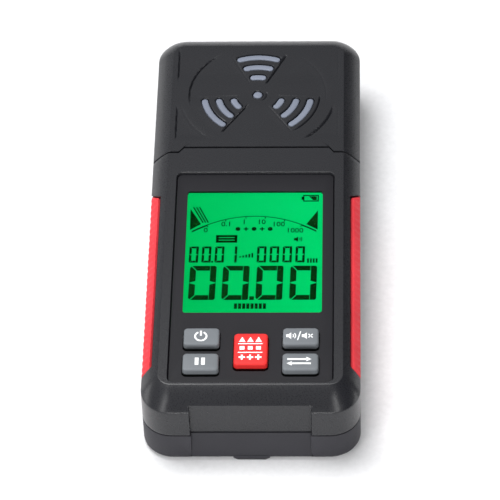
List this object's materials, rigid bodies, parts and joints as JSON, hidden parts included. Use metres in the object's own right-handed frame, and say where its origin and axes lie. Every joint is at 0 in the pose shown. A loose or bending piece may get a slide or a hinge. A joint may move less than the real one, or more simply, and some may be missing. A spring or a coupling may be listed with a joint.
{
  "type": "geiger counter",
  "caption": "Handheld geiger counter: dark plastic case, trefoil-slotted sensor head, green back-lit display, red rubber side grips, grey keys and a larger red key.",
  "frame": {"origin": "middle of the foot print, on the ground plane, the instrument lying on its back", "axes": "+Z out of the front face, +Y from the keys to the sensor head, +X to the user's right"},
  "size_m": [0.067, 0.1614, 0.0289],
  "materials": {
    "dark_plastic": "fine moulded grain, matt",
    "panel_plastic": "smooth matt film",
    "grey_rubber": "moulded silicone rubber, matt",
    "red_rubber": "moulded silicone rubber, matt",
    "grip_rubber": "ribbed soft rubber, matt",
    "insert_grey": "smooth matt",
    "strip_rubber": "conductive rubber, matt",
    "clear_plastic": "clear moulded plastic, polished",
    "display_glass": "back-lit display glass, polished",
    "white_plastic": "moulded, matt",
    "black_part": "moulded, matt",
    "board": "solder resist over laminate",
    "steel": "plated, satin",
    "tube_metal": "drawn metal, satin",
    "cell_wrap": "shrink wrap over metal"
  },
  "bodies": {
    "case": {"back_cover": "dark_plastic", "board_screw_1": "steel", "board_screw_2": "steel", "board_screw_3": "steel", "board_screw_4": "steel", "buzzer": "black_part", "case_screw_1": "steel", "case_screw_2": "steel", "case_screw_3": "steel", "case_screw_4": "steel", "case_screw_5": "steel", "case_screw_6": "steel", "cell_1": "cell_wrap", "cell_2": "cell_wrap", "cell_3": "cell_wrap", "contact_plate_1": "steel", "contact_plate_2": "steel", "contact_plate_3": "steel", "contact_plate_4": "steel", "contact_spring_1": "steel", "contact_spring_2": "steel", "contact_spring_3": "steel", "contact_strip": "strip_rubber", "display_lens": "clear_plastic", "face_plate": "panel_plastic", "front_cover": "dark_plastic", "geiger_tube": "tube_metal", "grille_insert": "insert_grey", "grip_left": "grip_rubber", "grip_right": "grip_rubber", "head_cover": "dark_plastic", "hv_capacitor": "cell_wrap", "lcd_glass": "display_glass", "lcd_holder": "white_plastic", "light_guide": "white_plastic", "link_header": "black_part", "main_board": "board", "main_chip": "black_part", "sensor_board": "board", "sensor_screw_1": "steel", "sensor_screw_2": "steel", "step_up_coil": "black_part", "switch_hold": "black_part", "switch_mode": "black_part", "switch_power": "black_part", "switch_sound": "black_part", "switch_unit": "black_part", "tube_cap_left": "steel", "tube_cap_right": "steel", "tube_clip_left": "steel", "tube_clip_right": "steel"},
    "power_key": {"power_key": "grey_rubber"},
    "hold_key": {"hold_key": "grey_rubber"},
    "mode_key": {"mode_key": "red_rubber"},
    "sound_key": {"sound_key": "grey_rubber"},
    "unit_key": {"unit_key": "grey_rubber"},
    "battery_door": {"battery_door": "dark_plastic"}
  },
  "joints": [
    {"name": "power_key_press", "type": "slide", "parent": "case", "child": "power_key", "axis": [0, 0, -1], "range_m": [0, 0.0006], "stiffness_N_per_m": 2500},
    {"name": "hold_key_press", "type": "slide", "parent": "case", "child": "hold_key", "axis": [0, 0, -1], "range_m": [0, 0.0006], "stiffness_N_per_m": 2500},
    {"name": "mode_key_press", "type": "slide", "parent": "case", "child": "mode_key", "axis": [0, 0, -1], "range_m": [0, 0.0006], "stiffness_N_per_m": 2500},
    {"name": "sound_key_press", "type": "slide", "parent": "case", "child": "sound_key", "axis": [0, 0, -1], "range_m": [0, 0.0006], "stiffness_N_per_m": 2500},
    {"name": "unit_key_press", "type": "slide", "parent": "case", "child": "unit_key", "axis": [0, 0, -1], "range_m": [0, 0.0006], "stiffness_N_per_m": 2500},
    {"name": "battery_door_slide", "type": "slide", "parent": "case", "child": "battery_door", "axis": [0, -1, 0], "range_m": [0, 0.056]}
  ]
}
